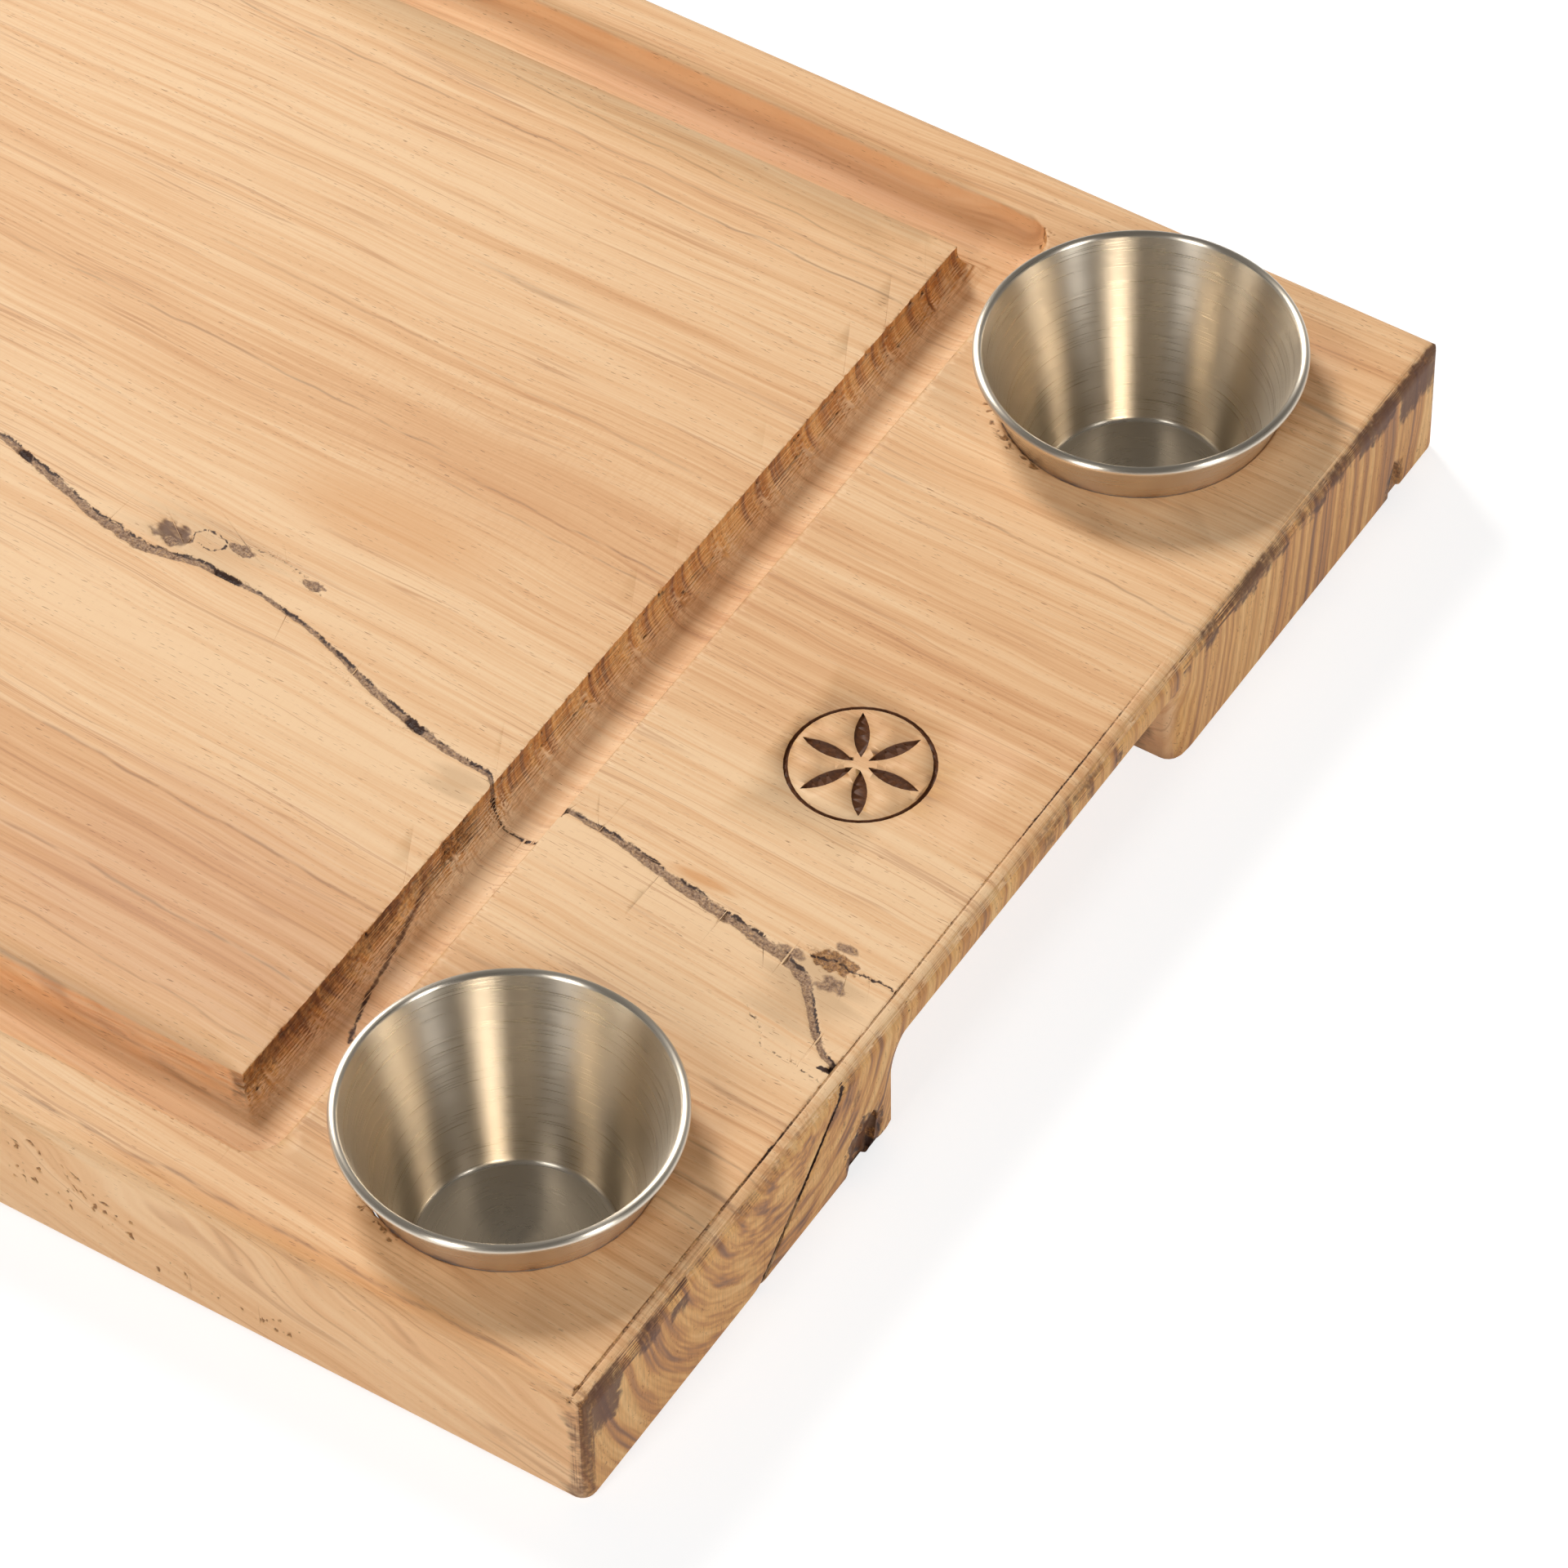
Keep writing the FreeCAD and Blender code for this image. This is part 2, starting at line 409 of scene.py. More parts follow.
@dataclass(frozen=True)
class Timber:
    """The board's wood. Its pattern is laid out in millimetres."""

    pith_y: float = -69.0
    pith_z: float = 35.0
    straight_y: float = 105.0
    lean: float = 0.0004
    burnt: tuple = srgb(118, 70, 34)
    char: tuple = srgb(60, 34, 20)
    rosette_x: float = 187.5
    rosette_reach: float = 14.6
    end_strip: float = 140.0
    dark_lines: tuple = (
        # Painted shade: this line along the far groove's inner edge stands in for the shade in the groove beside it.
        DarkLine((-10, 123.6), (130, 123.2), 0.5, 0.6),
        DarkLine((-30, 106.0), (130, 103.5), 0.45, 0.5),
        DarkLine((30, 117.0), (130, 112.0), 0.4, 0.35),
        DarkLine((20, 110.5), (130, 108.5), 0.5, 0.3),
        DarkLine((58, 70.5), (82, 69.5), 1.3, 0.35),
        DarkLine((-25, 28.5), (75, 25.0), 0.5, 0.45),
        DarkLine((78, 22.5), (130, 20.0), 0.5, 0.5),
        DarkLine((82, 18.5), (130, 16.5), 0.4, 0.4),
        DarkLine((10, 49.0), (130, 45.0), 0.6, 0.25),
        DarkLine((45, -70.0), (130, -76.0), 0.6, 0.5),
        DarkLine((58, -93.5), (130, -97.5), 0.7, 0.45),
        DarkLine((70, -109.0), (130, -113.0), 0.5, 0.35),
        DarkLine((75, -119.0), (130, -123.0), 0.9, 0.35),
        DarkLine((98, -144.0), (222, -147.2), 0.8, 0.55),
        DarkLine((150, 65.0), (222, 61.5), 0.5, 0.45),
        DarkLine((150, -75.5), (222, -79.0), 1.0, 0.3),
        DarkLine((200, -89.0), (222, -92.0), 0.5, 0.45),
        DarkLine((202, -97.0), (222, -99.0), 1.1, 0.6),
        DarkLine((205, -103.0), (222, -106.0), 0.6, 0.4),
        DarkLine((208, 122.0), (222, 120.5), 1.2, 0.5),
    )
    stains: tuple = (
        Stain((80, 4), (26, 9), 0.35, ORANGE),
        Stain((98, 26), (44, 14), 0.35, TAN),
        Stain((85, 132), (66, 5), 0.35, PINK),
        Stain((165, -147), (70, 3), 0.5, ORANGE),
        Stain((178, -38.6), (9, 1.8), 0.7, ORANGE),
        Stain((100, -95), (52, 36), 0.3, PINK),
        Stain((54, -18), (20, 8), 0.25, OLIVE),
        Stain((208, -50), (11, 12), 0.4, OLIVE),
        Stain((127, -43), (7, 4), 0.35, OLIVE),
    )

    def material(self) -> bpy.types.Material:
        """Build the wood.

        Returns:
            The material.
        """
        g = Graph("oiled_timber")
        object_place = g.node("ShaderNodeTexCoord", {}, {}, "Object")
        place = g.node("ShaderNodeVectorMath", {"operation": "SCALE"}, {0: object_place, "Scale": 1 / MM})
        x, y, z = g.split(place)
        normal = g.node("ShaderNodeTexCoord", {}, {}, "Normal")
        end_share = abs(g.split(normal)[0]).step(0.45, 0.9)

        layer = y - (y - self.straight_y) * self.lean * (x - 60)
        drift = (g.noise(g.join(x / 75, y / 34, z / 34), 1) - 0.5) * 5
        ripple = (g.noise(g.join(x / 17, y / 8, z / 8), 1) - 0.5) * 0.9
        layer = layer + drift + ripple
        ring_y = layer - self.pith_y
        ring_z = z - self.pith_z
        radius = (ring_y * ring_y + ring_z * ring_z) ** 0.5
        side = ring_y / radius

        colour = self._long_grain(g, (x, y, z), layer, radius, side)
        colour = g.mix(end_share, colour, self._end_grain(g, (x, y, z), radius, side))
        colour = self._marks(g, (x, y, z), colour)
        colour = self._scorch(g, (x, y, z), colour)

        fibre = g.noise(g.join(x / 7, y / 0.4, z / 0.4), 1, 0.6)
        bark = g.node("ShaderNodeAttribute", {"attribute_name": "bark"}, {}, "Fac")
        torn = g.node("ShaderNodeAttribute", {"attribute_name": "torn"}, {}, "Fac")
        grit = g.noise(g.join(x / 0.6, y / 0.6, z / 0.6), 1, 0.65)
        height = fibre * 0.05 + (bark * 0.5 + torn * 0.3) * grit
        bump = g.node("ShaderNodeBump", {}, {"Strength": 0.5, "Distance": MM, "Height": height})
        shader = g.node("ShaderNodeBsdfPrincipled", {},
                        {"Base Color": colour, "Roughness": 0.58, "IOR": 1.4, "Normal": bump})
        return g.finish(shader)

    def _long_grain(self, g: Graph, place: tuple[Wire, Wire, Wire], layer: Wire, radius: Wire,
                    side: Wire) -> Wire:
        """Colour the wood along the grain.

        Args:
            g: The material's graph.
            place: The place in millimetres.
            layer: The place across the board, straightened.
            radius: The distance from the pith.
            side: The side of the pith.

        Returns:
            The colour.
        """
        x, y, z = place
        broad = g.noise(g.join(x / 260, radius / 9, side * 3), 1)
        streak = g.noise(g.join(x / 120, radius / 2.3, side * 6), 2, 0.6)
        thread = g.noise(g.join(x / 34, radius / 0.5, side * 9), 2, 0.6)
        across = layer.most(-148.0).least(148.0).curve(-150, 150, (
            (-150, 0.55), (-140, 0.35), (-128, 0.45), (-112, 0.62), (-98, 0.62), (-84, 0.58), (-72, 0.5),
            (-60, 0.3), (-48, 0.12), (-34, 0.1), (-20, 0.2), (-6, 0.16), (8, 0.26), (24, 0.5), (36, 0.42),
            (50, 0.34), (62, 0.2), (72, 0.24), (84, 0.14), (104, 0.22), (118, 0.2), (132, 0.4), (150, 0.4)))
        towards_cups = x.step(-20, 110) * layer.step(-12, 4)
        tone = across * 0.62 + towards_cups * 0.1 + 0.02
        tone = tone + (broad - 0.5) * 0.55 + (streak - 0.5) * 1.0 + (thread - 0.5) * 0.65
        colour = g.node("ShaderNodeValToRGB", {"stops": [(0.0, PALE), (0.3, HONEY), (0.58, TAN),
                                                         (0.85, BROWN), (1.0, UMBER)]}, {0: tone})
        contour = abs(g.noise(g.join(x / 170, radius / 3.2, side * 4), 2) - 0.5).step(0.022, 0.0)
        fade = g.noise(g.join(x / 40, y / 7, z / 7), 1).step(0.42, 0.66)
        colour = g.mix(contour * fade * 0.5, colour, BROWN)

        ragged = (streak - 0.5) * 1.6
        for stain in self.stains:
            reach_x, reach_y = stain.reach
            off_x = x.line(1 / reach_x, -stain.centre[0] / reach_x)
            off_y = y.line(1 / reach_y, -stain.centre[1] / reach_y)
            away = (off_x ** 2 + off_y ** 2) ** 0.5
            colour = g.mix((away + ragged).step(1.1, 0.3, stain.strength), colour, stain.colour)

        broken = g.noise(g.join(x / 11, radius / 1.2, z / 9), 2, 0.6).step(0.3, 0.6)
        wobble = (g.noise(g.join(x / 13, y / 40, 0.0), 1) - 0.5) * 2.4
        wavy_y = y + wobble
        ends = {reach: x.step(reach + 8, reach - 4) for reach in sorted({dark_line.end[0] for dark_line in self.dark_lines})}
        lines = 0.0
        for dark_line in self.dark_lines:
            (x0, y0), (x1, y1) = dark_line.start, dark_line.end
            slope = (y1 - y0) / (x1 - x0)
            off = abs(wavy_y - x.line(slope, y0 - slope * x0))
            shown = off.step(dark_line.width, 0.0, dark_line.strength) * x.step(x0 - 6, x0 + 8)
            if x1 < self.end_strip:
                shown = shown * ends[x1]
            lines = shown.most(lines)
        # The grain's dark lines, with the painted shade line at the far groove's inner edge.
        colour = g.mix(lines * broken, colour, srgb(128, 88, 70))

        pore = g.noise(g.join(x / 2.4, y / 0.24, z / 0.24), 1).step(0.67, 0.74)
        crowd = g.noise(g.join(x / 30, y / 6, z / 6), 1).step(0.3, 0.65)
        colour = g.mix(pore * (crowd * 0.6 + 0.14), colour, UMBER)
        cross = g.noise(g.join(x / 0.7, y / 3.2, z / 3.2), 1) - 0.5
        figure = (((x - 95) / 55) ** 2 + ((y - 28) / 22) ** 2).step(1.3, 0.2) * 0.5 + 0.12
        return g.mix((cross * figure * 1.6 + 0.5).step(0.35, 0.9) * 0.35, colour, TAN)

    def _end_grain(self, g: Graph, place: tuple[Wire, Wire, Wire], radius: Wire, side: Wire) -> Wire:
        """Colour the sawn end grain.

        Args:
            g: The material's graph.
            place: The place in millimetres.
            radius: The distance from the pith.
            side: The side of the pith.

        Returns:
            The colour.
        """
        x, y, z = place
        rings = g.noise(g.join(x / 90, radius / 2.1, side * 3), 2, 0.55)
        colour = g.node("ShaderNodeValToRGB", {"stops": [(0.3, srgb(242, 194, 130)), (0.46, srgb(228, 172, 106)),
                                                         (0.56, srgb(204, 144, 86)), (0.66, srgb(158, 112, 80)),
                                                         (0.78, srgb(116, 80, 62))]}, {0: rings})
        speck = g.noise(g.join(x / 2, y / 0.55, z / 0.9), 2, 0.7).step(0.58, 0.68)
        patchy = g.noise(g.join(x / 9, radius / 3, z / 11), 1).step(0.46, 0.6)
        colour = g.mix(speck * patchy * 0.7, colour, srgb(150, 88, 38))
        brushed = g.noise(g.join(x / 3, y / 0.5, z / 5), 2, 0.6)
        return g.mix((brushed - 0.5) * 1.0 + 0.1, colour, srgb(150, 104, 66))

    def _marks(self, g: Graph, place: tuple[Wire, Wire, Wire], colour: Wire) -> Wire:
        """Colour what is carved: burnt, torn, barky and cracked wood, and the painted shade on the groove's inner
        wall and the recess's side wall.

        Args:
            g: The material's graph.
            place: The place in millimetres.
            colour: The sound wood's colour.

        Returns:
            The colour with the marks.
        """
        x, y, z = place
        burn_and_shade, torn, bark, crack = (g.node("ShaderNodeAttribute", {"attribute_name": name}, {}, "Fac")
                                   for name in ("burn_and_shade", "torn", "bark", "crack"))
        flake = g.noise(g.join(x / 3, y / 1.1, z / 1.1), 2, 0.65)
        grit = g.noise(g.join(x / 0.7, y / 0.55, z / 0.6), 2, 0.7)
        # Burns and dark knots, and the painted shade on the groove's inner wall and the recess's side wall, in one
        # dark brown.
        shade = (burn_and_shade + (flake - 0.5) * 0.9 * burn_and_shade.step(0.0, 0.3)).step(0.2, 0.95)
        colour = g.mix(shade * 0.88, colour, srgb(88, 52, 36))
        fibre = g.node("ShaderNodeValToRGB", {"stops": [(0.32, srgb(72, 42, 20)), (0.5, srgb(142, 92, 46)),
                                                        (0.7, srgb(206, 152, 92))]}, {0: grit})
        colour = g.mix((torn + (flake - 0.5) * 0.5 * torn.step(0.0, 0.2)).step(0.15, 0.6) * 0.85, colour, fibre)
        crumb = g.node("ShaderNodeValToRGB", {"stops": [(0.3, srgb(84, 58, 42)), (0.42, srgb(132, 98, 74)),
                                                        (0.55, srgb(168, 134, 106)),
                                                        (0.7, srgb(204, 160, 112))]}, {0: grit})
        colour = g.mix((bark + (grit - 0.5) * 0.5 * bark.step(0.0, 0.2)).step(0.15, 0.6) * 0.92, colour, crumb)
        return g.mix((crack + (grit - 0.5) * 0.8 * crack.step(0.0, 0.2)).step(0.25, 0.7), colour,
                     srgb(62, 38, 26))

    def _scorch(self, g: Graph, place: tuple[Wire, Wire, Wire], colour: Wire) -> Wire:
        """Burn the rosette's cuts.

        Args:
            g: The material's graph.
            place: The place in millimetres.
            colour: The wood's colour.

        Returns:
            The colour with the burnt cuts.
        """
        x, y, z = place
        from_rosette = ((x - self.rosette_x) ** 2 + y * y) ** 0.5
        engraved = from_rosette.step(self.rosette_reach + 0.6, self.rosette_reach) * z.step(28.9, 28.6)
        engraved = engraved * z.step(20, 22)
        scorch = g.mix(g.noise(g.join(x / 0.8, y / 0.3, z), 1), self.burnt, self.char)
        return g.mix(engraved, colour, scorch)


@dataclass(frozen=True)
class SpunSteel:
    """Thin stainless sheet, spun to shape and brushed round the axis."""

    colour: tuple = srgb(224, 213, 196)
    roughness: float = 0.3
    anisotropic: float = 0.85
    quarter_turn: float = 0.25

    def material(self, name: str, centre_x: float, centre_y: float) -> bpy.types.Material:
        """Build the steel.

        Args:
            name: The material's name.
            centre_x: Where the cup's axis stands, in millimetres.
            centre_y: The same, across the board.

        Returns:
            The material.
        """
        g = Graph(name)
        object_place = g.node("ShaderNodeTexCoord", {}, {}, "Object")
        place = g.node("ShaderNodeVectorMath", {"operation": "SCALE"}, {0: object_place, "Scale": 1 / MM})
        x, y, z = g.split(place)
        dx, dy = x - centre_x, y - centre_y
        radius = (dx * dx + dy * dy) ** 0.5
        turn_x, turn_y = dx / radius, dy / radius
        brush = g.noise(g.join(radius * 3, z * 3, turn_x * 1.3 + turn_y * 0.8), 2, 0.7)
        ring = g.noise(g.join(radius * 0.9, z * 0.9, turn_x * 0.5), 1)
        bump = g.node("ShaderNodeBump", {}, {"Strength": 0.3, "Distance": MM * 0.02,
                                             "Height": brush * 0.5 + ring * 0.6})
        rough = (brush - 0.5) * 0.22 + self.roughness
        shader = g.node("ShaderNodeBsdfPrincipled", {},
                        {"Base Color": self.colour, "Metallic": 1.0, "Roughness": rough,
                         "Anisotropic": self.anisotropic, "Anisotropic Rotation": self.quarter_turn,
                         "Normal": bump})
        return g.finish(shader)


def deselect() -> None:
    """Leave nothing selected and no object active in edit mode."""
    if bpy.context.mode != "OBJECT":
        bpy.ops.object.mode_set(mode="OBJECT")
    bpy.ops.object.select_all(action="DESELECT")


def open_for_edit(piece: bpy.types.Object) -> None:
    """Go into edit mode on one piece with all of its mesh selected.

    Args:
        piece: The piece.
    """
    deselect()
    piece.select_set(True)
    bpy.context.view_layer.objects.active = piece
    bpy.ops.object.mode_set(mode="EDIT")
    bpy.ops.mesh.select_mode(type="VERT")
    bpy.ops.mesh.select_all(action="SELECT")


def close_edit(smooth_angle: float) -> None:
    """Go back to object mode and shade the piece smooth up to an angle.

    Args:
        smooth_angle: In degrees.
    """
    bpy.ops.object.mode_set(mode="OBJECT")
    bpy.ops.object.shade_smooth_by_angle(angle=math.radians(smooth_angle))


@dataclass(frozen=True)
class FineZone:
    """A box, in millimetres, whose mesh is made fine enough to carve."""

    x: tuple[float, float]
    y: tuple[float, float]
    z: tuple[float, float]
    edge: float

    def away(self, x: float, y: float, z: float) -> float:
        """Measure how far outside the zone a place lies, along its worst axis."""
        return max(self.x[0] - x, x - self.x[1], self.y[0] - y, y - self.y[1],
                   self.z[0] - z, z - self.z[1], 0.0)


@dataclass
class Wear:
    """What happened to one spot of the wood, and the painted shade laid on it."""

    depth: float = 0.0
    bark: float = 0.0
    crack: float = 0.0
    torn: float = 0.0
    # Burns and dark knots, and painted shade.
    burn_and_shade: float = 0.0


@dataclass
class Board:
    """The wooden board: the milled slab with the timber's flaws and the tool's marks carved in."""

    node: str = "board"
    half_length: float = 225.0
    half_width: float = 150.0
    thickness: float = 29.0
    grid: float = 15.0
    groove_inner: float = 132.9
    groove_outer: float = 147.5
    bore_centre: tuple[float, float] = (182.5, 108.4)
    bore_rim: float = 28.7
    step_x: float = 221.7
    seam: tuple = ((-12, -16.2), (6, -16), (24, -21), (30, -23), (44, -25.2), (56, -23),
                   (70, -23.4), (82, -25.6), (90, -28), (98, -31), (106, -33.6), (113, -35.6), (122, -37.4),
                   (131, -38), (134, -41), (137, -42.6), (142, -43), (146, -42), (148, -37.6), (160, -38.8),
                   (170, -41), (180, -42.8), (190, -44.4), (200, -46.4), (206, -48.6), (210, -53),
                   (214, -58), (218.5, -62), (223, -63.4))
    seam_width: tuple = ((-12, 0.1), (0, 0.4), (10, 0.8), (24, 0.9), (44, 1.2), (56, 0.7), (70, 0.3),
                         (90, 0.4), (100, 0.8), (116, 0.9), (131, 0.4), (133, 0.2), (147, 0.2), (149, 0.4),
                         (160, 0.8), (170, 1.1), (190, 1.2), (204, 1.1), (210, 0.8), (223, 0.4))
    branch: tuple = ((204, -43.4), (208, -41.8), (213, -42.6), (218, -42.2), (225, -43))
    hairline: tuple = ((200, -59), (205, -62), (208, -66), (214, -66), (222, -67.6))
    lower_strand: tuple = ((88, -29.5), (96, -33), (104, -36), (112, -37.4))
    squiggle: tuple = ((63, -14.6), (67, -13.8), (71, -14.6), (75, -15.4), (80, -18))
    tongue: tuple = ((133.6, -62), (136, -76), (138.2, -90), (141.2, -99.5), (144.2, -92), (146.4, -80))
    split_line: tuple = ((-96, -1), (-75.6, 17.0), (-65.1, 27.3), (-64.6, 29))
    zones: tuple = (
        FineZone((41, 82), (-24, -13.5), (28.5, 30), 0.55),
        FineZone((133, 139), (-125, 112), (21, 29), 0.75),
        FineZone((132.2, 133.4), (-126, 123), (27.5, 30), 0.5),
        FineZone((143, 147.6), (-124, 126), (21, 28.8), 0.8),
        FineZone((134, 146), (-102, -60), (21, 27), 0.7),
        FineZone((199, 215), (-51, -36), (28, 30), 0.55),
        FineZone((221.2, 222.4), (-151, 62), (28, 30), 0.5),
        FineZone((222.4, 226), (-151, 151), (24, 30), 0.95),
        FineZone((224.5, 226), (-151, 151), (0, 24), 2.2),
        FineZone((224.5, 226), (-66, -50), (-1, 13), 0.7),
        FineZone((220, 226), (-70, -60), (20, 30), 0.6),
        FineZone((102, 129), (-151, -149.5), (9, 25), 0.7),
        FineZone((132, 166), (-151, -149.5), (4, 10), 0.7),
        FineZone((112, 142), (-135, -132), (27, 30), 0.55),
        FineZone((142, 148), (132, 137), (25, 30), 0.6),
        FineZone((160, 178), (-138, -124), (28, 30), 0.8),
        FineZone((156, 176), (80, 92), (28, 30), 0.8),
    )
    grading: float = 0.7
    passes: tuple[float, ...] = (8.0, 4.0, 2.6, 1.9, 1.5, 1.2)
    cell: float = 10.0
    most_faces: int = 190000
    thinnest: float = 0.01

    def build(self) -> bpy.types.Object:
        """Copy the CAD slab, refine it, carve it and give it its wood.

        Returns:
            The carved board.
        """
        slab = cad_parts[self.node]
        piece = bpy.data.objects.new("carved_board", slab.data.copy())
        bpy.context.scene.collection.objects.link(piece)
        self._clean(piece)
        self._rule(piece)
        self._refine(piece)
        self._carve(piece)
        piece.data.materials.clear()
        piece.data.materials.append(Timber().material())
        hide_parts(self.node)
        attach(piece, "root")
        log.info("board carved, %d faces", len(piece.data.polygons))
        return piece

    def _clean(self, piece: bpy.types.Object) -> None:
        """Weld the copy's loose triangles into plain faces."""
        open_for_edit(piece)
        bpy.ops.mesh.remove_doubles(threshold=MM * 0.001)
        bpy.ops.mesh.dissolve_limited(angle_limit=math.radians(0.05))

    def _rule(self, piece: bpy.types.Object) -> None:
        """Cut the faces along a coarse grid, so that none is long and thin."""
        for axis, reach in ((0, self.half_length), (1, self.half_width)):
            count = int(reach / self.grid)
            for index in range(-count, count + 1):
                at, facing = [0.0, 0.0, 0.0], [0.0, 0.0, 0.0]
                at[axis], facing[axis] = (index + 0.37) * self.grid * MM, 1.0
                bpy.ops.mesh.select_all(action="SELECT")
                bpy.ops.mesh.bisect(plane_co=at, plane_no=facing)
        bpy.ops.mesh.select_all(action="SELECT")
        bpy.ops.mesh.dissolve_degenerate(threshold=MM * 0.01)
        bpy.ops.mesh.select_all(action="SELECT")
        bpy.ops.mesh.quads_convert_to_tris(quad_method="BEAUTY", ngon_method="BEAUTY")

    def _fine_cells(self) -> dict[tuple[int, int], list[FineZone]]:
        """Sort the fine zones, those along the seam too, by the squares of the board near them.

        Returns:
            The zones by the square's two numbers.
        """
        zones = list(self.zones)
        for path, margin in ((self.seam, 2.2), (self.branch, 0.6), (self.hairline, 0.6),
                             (self.lower_strand, 0.8), (self.split_line, 0.0)):
            for (ax, ay), (bx, by) in zip(path, path[1:]):
                if path is self.split_line:
                    zones.append(FineZone((223, 226), self._span(ax, bx, 0.8), self._span(ay, by, 0.8), 0.6))
                else:
                    zones.append(FineZone(self._span(ax, bx, 0.3), self._span(ay, by, margin), (21, 30), 0.6))
        cells: dict[tuple[int, int], list[FineZone]] = {}
        for zone in zones:
            for i in range(math.floor(zone.x[0] / self.cell) - 1, math.floor(zone.x[1] / self.cell) + 2):
                for j in range(math.floor(zone.y[0] / self.cell) - 1, math.floor(zone.y[1] / self.cell) + 2):
                    cells.setdefault((i, j), []).append(zone)
        return cells

    @staticmethod
    def _span(one: float, other: float, margin: float) -> tuple[float, float]:
        """Take in two places and a margin round them."""
        return min(one, other) - margin, max(one, other) + margin

    def _refine(self, piece: bpy.types.Object) -> None:
        """Halve the longest edges in and near the fine zones, the coarsest first, until all can be carved."""
        cells = self._fine_cells()
        mesh = bmesh.from_edit_mesh(piece.data)
        for coarse in self.passes:
            waiting = list(mesh.faces)
            while waiting and len(mesh.faces) < self.most_faces:
                face = waiting.pop()
                longest = max(face.edges, key=bmesh.types.BMEdge.calc_length)
                length = longest.calc_length() / MM
                x, y, z = (longest.verts[0].co + longest.verts[1].co) / 2 / MM
                zones = cells.get((math.floor(x / self.cell), math.floor(y / self.cell)), ())
                wanted = coarse * min((zone.edge + self.grading * zone.away(x, y, z) for zone in zones),
                                      default=math.inf)
                if length < wanted or face.calc_area() < self.thinnest * (max(length, wanted) * MM) ** 2:
                    continue
                _, middle = bmesh.utils.edge_split(longest, longest.verts[0], 0.5)
                for side in list(middle.link_faces):
                    corners = list(side.verts)
                    across = corners[(corners.index(middle) + 2) % 4]
                    half, _ = bmesh.utils.face_split(side, middle, across)
                    waiting += (side, half)
        bmesh.update_edit_mesh(piece.data)

    def _carve(self, piece: bpy.types.Object) -> None:
        """Sink the flaws and the tool's marks into the wood, and note them, with the painted shade, for its finish.
        """
        bpy.ops.object.mode_set(mode="OBJECT")
        mesh = piece.data
        normals = [vertex.normal.copy() for vertex in mesh.vertices]
        notes: dict[str, list[float]] = {"bark": [], "crack": [], "torn": [], "burn_and_shade": []}
        for vertex, normal in zip(mesh.vertices, normals):
            x, y, z = vertex.co / MM
            wear = Wear()
            if z > 21 and x < 224.9:
                self._seam(wear, x, y, z)
                self._knots(wear, x, y)
            if 21 < z and 130 < x < 149:
                self._groove(wear, x, y, z)
            self._rims(wear, x, y, z)
            if x > 214:
                self._end(wear, x, y, z)
            if y < -149.5:
                self._front(wear, x, z)
            vertex.co -= normal * wear.depth * MM
            for name, values in notes.items():
                values.append(min(max(getattr(wear, name), 0.0), 1.0))
        for name, values in notes.items():
            layer = mesh.attributes.new(name, "FLOAT", "POINT")
            layer.data.foreach_set("value", values)
        mesh.update()
        deselect()
        piece.select_set(True)
        bpy.context.view_layer.objects.active = piece
        bpy.ops.object.shade_smooth_by_angle(angle=math.radians(32))

    def _seam(self, wear: Wear, x: float, y: float, z: float) -> None:
        """Open the bark seam that runs along the board, and its side cracks."""
        if not -70 < y < -8 or x < self.seam[0][0]:
            return
        ragged = grain(x / 2.1, y / 2.1, 3.0)
        away, side = from_path(self.seam, x, y)
        half = self._read(self.seam_width, x) * (1 + 0.45 * ragged + 0.25 * grain(x / 6.0, 5.0, 11.0))
        inside = rise(away, half + 0.3, half * 0.4)
        in_groove = self.groove_inner + 0.5 < x < self.groove_outer - 0.3 and z < 28.8
        if in_groove:
            wear.crack = max(wear.crack, rise(away, 0.5, 0.12) * (0.8 + 0.4 * ragged))
            wear.depth += 0.3 * rise(away, 0.6, 0.1)
            return
        crumble = grain(x / 0.9, y / 0.7, 8.0)
        wear.bark = max(wear.bark, inside)
        wear.depth += inside * (0.3 + 0.14 * crumble + 0.16 * rise(half, 0.6, 1.6))
        edge = rise(abs(away - half), 0.5, 0.08) * (1.0 if side > 0 else 0.4)
        broken = rise(grain(x / 5.0, side * 9, 2.0), -0.35, 0.25)
        wear.crack = max(wear.crack, edge * (0.42 + 0.5 * broken))
        wear.depth += 0.12 * edge * broken
        slit = max(bump_of(x, 10.5, 12.5, 1.5), bump_of(x, 60, 64, 2), bump_of(x, 111, 114, 1.5))
        wear.crack = max(wear.crack, slit * rise(away, 0.8, 0.3))
        wear.depth += 0.5 * slit * rise(away, 0.8, 0.2)
        for path, reach, strength in ((self.branch, 0.45, 0.95), (self.hairline, 0.3, 0.7),
                                      (self.lower_strand, 0.7, 0.45), (self.squiggle, 0.5, 0.6)):
            strand, _ = from_path(path, x, y + 0.5 * grain(x / 1.6, 1.0, 5.0))
            if strand < 2:
                shown = rise(strand, reach, reach * 0.3) * (0.75 + 0.4 * ragged)
                wear.crack = max(wear.crack, strength * shown)
                wear.depth += 0.25 * strength * shown

